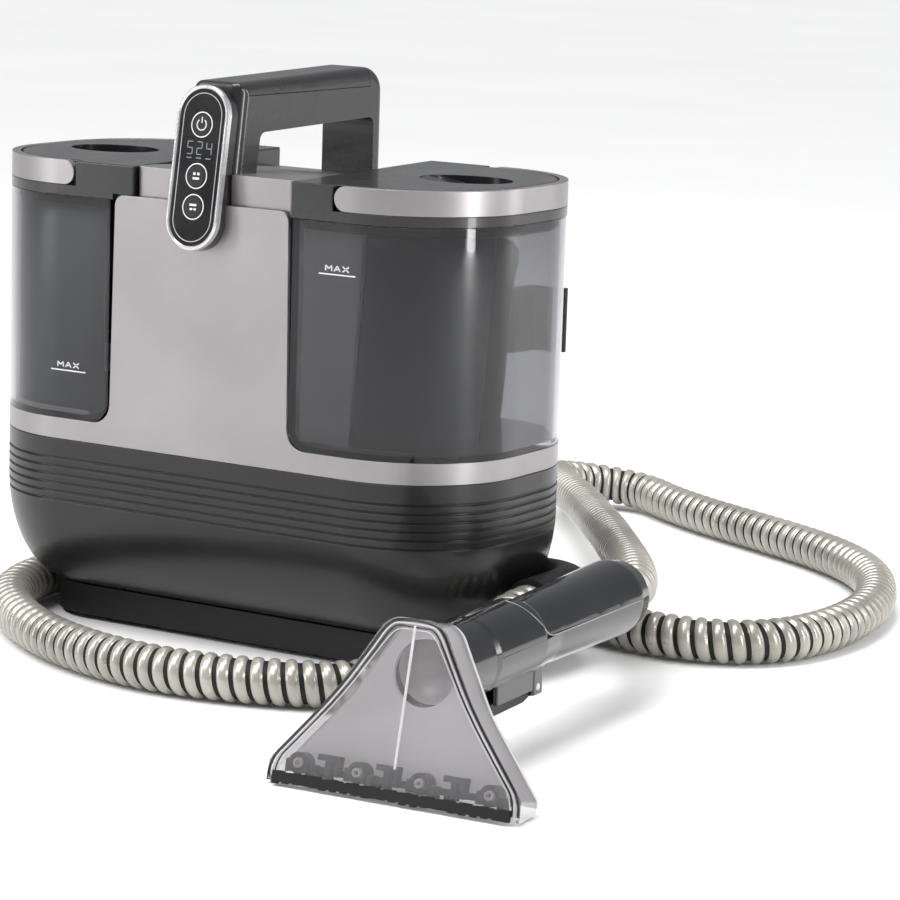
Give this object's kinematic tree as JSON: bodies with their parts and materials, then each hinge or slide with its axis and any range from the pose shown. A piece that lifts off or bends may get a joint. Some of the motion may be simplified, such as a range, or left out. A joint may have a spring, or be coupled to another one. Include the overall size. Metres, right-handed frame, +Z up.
{
  "type": "portable carpet spot cleaner",
  "caption": "Portable carpet and upholstery washer with twin lift-off smoked tanks, carry handle with control panel, ribbed suction hose and a trigger hand tool.",
  "frame": {"origin": "centre of the machine's footprint on the floor, level with the underside of its rubber feet", "axes": "+Z up; -Y towards the front, where the silver panel and the tool are; +X to the clean water tank's side"},
  "size_m": [0.5016, 0.7639, 0.33],
  "materials": {
    "shell_black": "glossy black",
    "satin_black": "satin black",
    "silver_shell": "satin warm silver",
    "tank_smoke": "clear smoke grey",
    "nozzle_smoke": "clear light smoke",
    "hose_rings": "clear grey-cream over a wire helix",
    "rubber_black": "soft black",
    "steel": "plain",
    "board_green": "solder mask",
    "motor_metal": "cast",
    "inner_grey": "moulded",
    "inner_white": "moulded",
    "panel_black": "glossy black",
    "button_black": "satin black"
  },
  "bodies": {
    "machine": {"air_duct": "inner_grey", "base_plate": "satin_black", "base_screws": "steel", "base_tub": "shell_black", "centre_top_cover": "silver_shell", "control_bezel": "silver_shell", "control_face": "panel_black", "control_housing": "shell_black", "control_pcb": "board_green", "cord_gland": "satin_black", "cord_hook_left": "satin_black", "cord_hook_right": "satin_black", "core_housing": "satin_black", "display_window": "panel_black", "fan_housing": "inner_grey", "front_fascia": "silver_shell", "grip_collar": "shell_black", "grip_lower": "satin_black", "grip_upper": "shell_black", "handle_frame": "shell_black", "handle_top_cover": "shell_black", "hose": "hose_rings", "hose_cuff_machine": "satin_black", "hose_cuff_tool": "satin_black", "hose_port": "satin_black", "main_pcb": "board_green", "rear_cover": "satin_black", "rubber_feet": "rubber_black", "spray_valve": "inner_grey", "suction_duct": "inner_grey", "tank_deck": "satin_black", "trigger_pin": "steel", "vacuum_motor": "motor_metal", "valve_seat": "satin_black", "water_pump": "inner_grey"},
    "fan_rotor": {"impeller": "inner_white", "motor_shaft": "steel"},
    "power_key": {"power_button": "button_black"},
    "mode_key": {"mode_button": "button_black"},
    "spray_key": {"spray_button": "button_black"},
    "clean_tank_unit": {"clean_tank": "tank_smoke", "clean_outlet_cap": "satin_black"},
    "clean_valve": {"clean_valve_poppet": "rubber_black"},
    "clean_lid_unit": {"clean_lid": "shell_black", "clean_lid_seal": "rubber_black"},
    "clean_bail_arm": {"clean_bail": "silver_shell"},
    "dirty_tank_unit": {"dirty_tank": "tank_smoke", "dirty_inlet_pipe": "inner_grey", "dirty_air_pipe": "inner_grey"},
    "float": {"float_ring": "inner_white"},
    "dirty_lid_unit": {"dirty_lid": "shell_black", "dirty_lid_seal": "rubber_black"},
    "dirty_bail_arm": {"dirty_bail": "silver_shell"},
    "trigger_lever": {"trigger": "satin_black"},
    "nozzle_unit": {"nozzle_cover": "nozzle_smoke", "nozzle_back": "nozzle_smoke", "nozzle_neck": "satin_black", "squeegee": "rubber_black", "spray_bar": "inner_grey"}
  },
  "joints": [
    {"name": "fan_spin", "type": "hinge", "parent": "machine", "child": "fan_rotor", "pos_m": [-0.038, 0, 0.05], "axis": [0, 0, 1], "continuous": true},
    {"name": "power_press", "type": "slide", "parent": "machine", "child": "power_key", "axis": [0, 0.988, -0.1547], "range_m": [0, 0.001], "stiffness_N_per_m": 800, "springref_m": -0.001},
    {"name": "mode_press", "type": "slide", "parent": "machine", "child": "mode_key", "axis": [0, 0.988, -0.1547], "range_m": [0, 0.001], "stiffness_N_per_m": 800, "springref_m": -0.001},
    {"name": "spray_press", "type": "slide", "parent": "machine", "child": "spray_key", "axis": [0, 0.988, -0.1547], "range_m": [0, 0.001], "stiffness_N_per_m": 800, "springref_m": -0.001},
    {"name": "clean_tank_lift", "type": "slide", "parent": "machine", "child": "clean_tank_unit", "axis": [0, 0, 1], "range_m": [0, 0.06]},
    {"name": "clean_valve_lift", "type": "slide", "parent": "clean_tank_unit", "child": "clean_valve", "axis": [0, 0, 1], "range_m": [0, 0.003], "stiffness_N_per_m": 300, "springref_m": -0.002},
    {"name": "clean_lid_lift", "type": "slide", "parent": "clean_tank_unit", "child": "clean_lid_unit", "axis": [0, 0, 1], "range_m": [0, 0.03]},
    {"name": "clean_bail_swing", "type": "hinge", "parent": "clean_lid_unit", "child": "clean_bail_arm", "pos_m": [0.0966, 0, 0.269], "axis": [0, -1, 0], "range_deg": [0, 90]},
    {"name": "dirty_tank_lift", "type": "slide", "parent": "machine", "child": "dirty_tank_unit", "axis": [0, 0, 1], "range_m": [0, 0.06]},
    {"name": "float_rise", "type": "slide", "parent": "dirty_tank_unit", "child": "float", "axis": [0, 0, 1], "range_m": [0, 0.07]},
    {"name": "dirty_lid_lift", "type": "slide", "parent": "dirty_tank_unit", "child": "dirty_lid_unit", "axis": [0, 0, 1], "range_m": [0, 0.03]},
    {"name": "dirty_bail_swing", "type": "hinge", "parent": "dirty_lid_unit", "child": "dirty_bail_arm", "pos_m": [-0.0966, 0, 0.269], "axis": [0, 1, 0], "range_deg": [0, 90]},
    {"name": "trigger_squeeze", "type": "hinge", "parent": "machine", "child": "trigger_lever", "pos_m": [0.25172, -0.14458, 0.033], "axis": [-0.9979, -0.0645, 0], "range_deg": [0, 5], "stiffness_Nm_per_rad": 1, "springref_deg": -5.73},
    {"name": "nozzle_pull", "type": "slide", "parent": "machine", "child": "nozzle_unit", "axis": [0.0645, -0.9979, 0], "range_m": [0, 0.03]}
  ]
}
